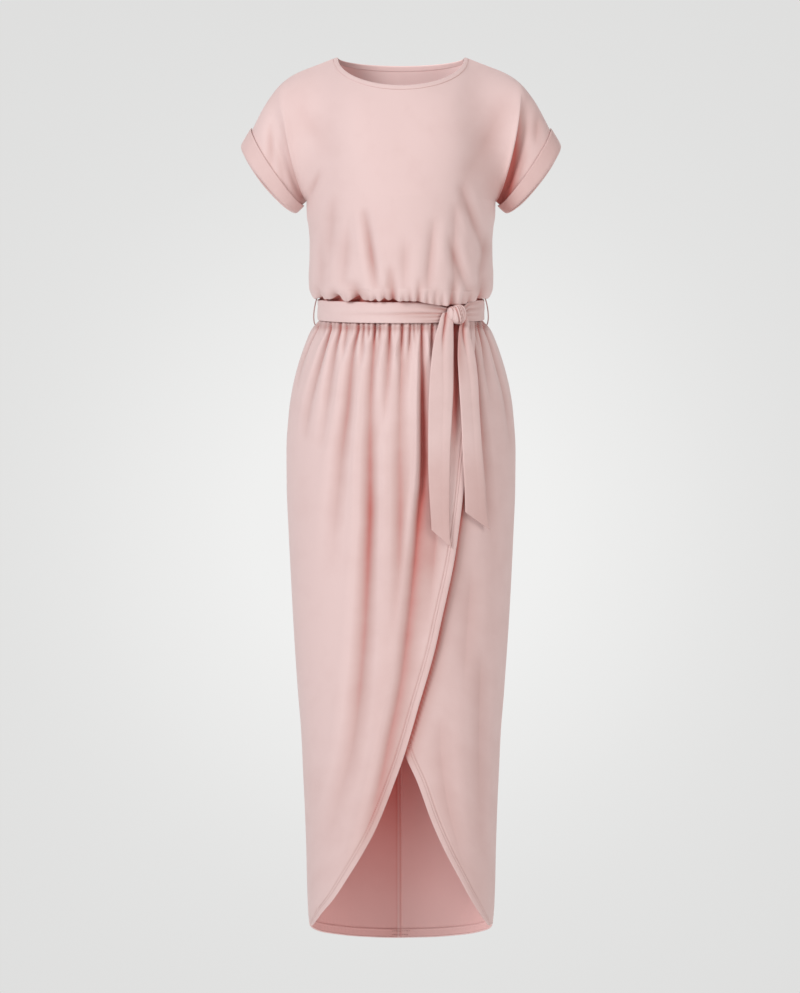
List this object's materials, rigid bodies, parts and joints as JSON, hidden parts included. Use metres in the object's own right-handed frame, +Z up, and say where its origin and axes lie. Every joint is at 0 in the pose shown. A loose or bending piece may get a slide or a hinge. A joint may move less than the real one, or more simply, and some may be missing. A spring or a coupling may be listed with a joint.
{
  "type": "wrap dress",
  "caption": "Hollow worn-form maxi dress in jersey: round neck, cut-on cuffed sleeves, blouson bodice, gathered tulip-wrap skirt with a front slit and a tied self-fabric belt.",
  "frame": {"origin": "midway between the two points where the neckline meets the shoulder seams, where the wearer's shoulders hold the dress", "axes": "+Z up along the dress's length, the front faces -Y, +X is to the right seen from the front"},
  "size_m": [0.4734, 0.2599, 1.3194],
  "materials": {
    "jersey": "soft matt viscose jersey, dusty pink",
    "belt_jersey": "the same jersey, doubled, pressed flat",
    "thread": "twisted sewing thread, slight sheen"
  },
  "bodies": {
    "root": {"bodice_front": "jersey", "bodice_back": "jersey", "neck_band": "jersey", "cuff_left": "jersey", "cuff_right": "jersey", "skirt_front_over": "jersey", "skirt_front_under": "jersey", "skirt_back_left": "jersey", "skirt_back_right": "jersey", "belt_band": "belt_jersey", "belt_knot": "belt_jersey", "belt_tail_left": "belt_jersey", "belt_tail_right": "belt_jersey", "belt_loop_left": "thread", "belt_loop_right": "thread"}
  },
  "joints": []
}
